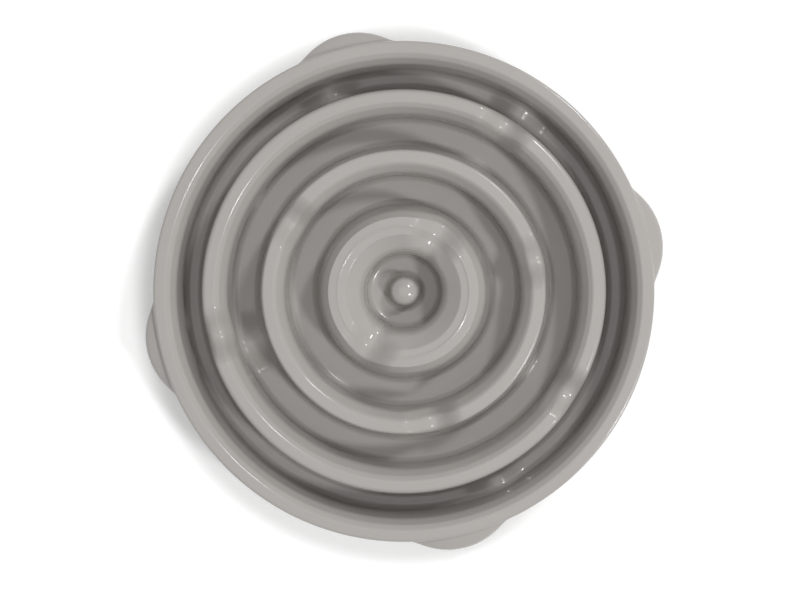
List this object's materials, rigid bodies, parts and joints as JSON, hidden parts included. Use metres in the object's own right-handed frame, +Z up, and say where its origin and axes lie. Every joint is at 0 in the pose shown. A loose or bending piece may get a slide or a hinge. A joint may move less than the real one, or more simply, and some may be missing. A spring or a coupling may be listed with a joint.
{
  "type": "slow feeder bowl",
  "caption": "Round moulded bowl that slows a pet's eating: concentric ring ridges with dips, ring channels, a centre well with a peg, and foot lobes on rubber pads.",
  "frame": {"origin": "bottom centre of the part, on the table under the middle of the bowl", "axes": "+Z up, the foot lobes point along +X, +Y, -X and -Y"},
  "size_m": [0.292, 0.292, 0.051],
  "materials": {
    "bowl_plastic": "smooth satin moulded plastic, warm mid grey",
    "pad_rubber": "soft matt rubber, dark grey"
  },
  "bodies": {
    "root": {"bowl": "bowl_plastic", "foot_pad_right": "pad_rubber", "foot_pad_back": "pad_rubber", "foot_pad_left": "pad_rubber", "foot_pad_front": "pad_rubber"}
  },
  "joints": []
}
